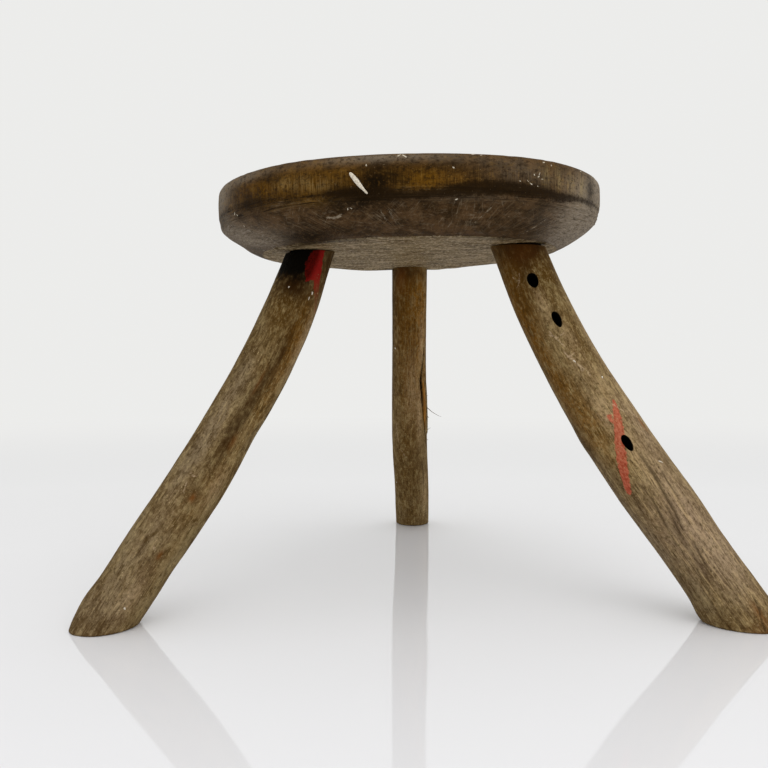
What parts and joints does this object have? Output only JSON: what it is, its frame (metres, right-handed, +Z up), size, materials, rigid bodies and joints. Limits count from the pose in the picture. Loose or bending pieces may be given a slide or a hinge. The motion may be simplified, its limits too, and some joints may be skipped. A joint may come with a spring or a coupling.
{
  "type": "three-legged stool",
  "caption": "Low stool with a thick round bevelled seat on splayed, gently bent branch legs tenoned through it.",
  "frame": {"origin": "on the floor, under the middle of the whole stool's bounding box", "axes": "+Z up; +X to the right as seen from the front, between the two front legs; +Y to the back, where the third leg stands"},
  "size_m": [0.4528, 0.4046, 0.3005],
  "materials": {
    "seat_wood": "worn hand-adzed hardwood with a dark, waxy patina, rubbed golden on the rim",
    "branch_wood": "peeled branch, weathered grey-brown with dark streaks",
    "wedge_wood": "split hardwood, dull and slightly paler than the seat"
  },
  "bodies": {
    "root": {"seat": "seat_wood", "left_leg": "branch_wood", "right_leg": "branch_wood", "rear_leg": "branch_wood", "left_leg_wedge": "wedge_wood", "right_leg_wedge": "wedge_wood", "rear_leg_wedge": "wedge_wood"}
  },
  "joints": []
}
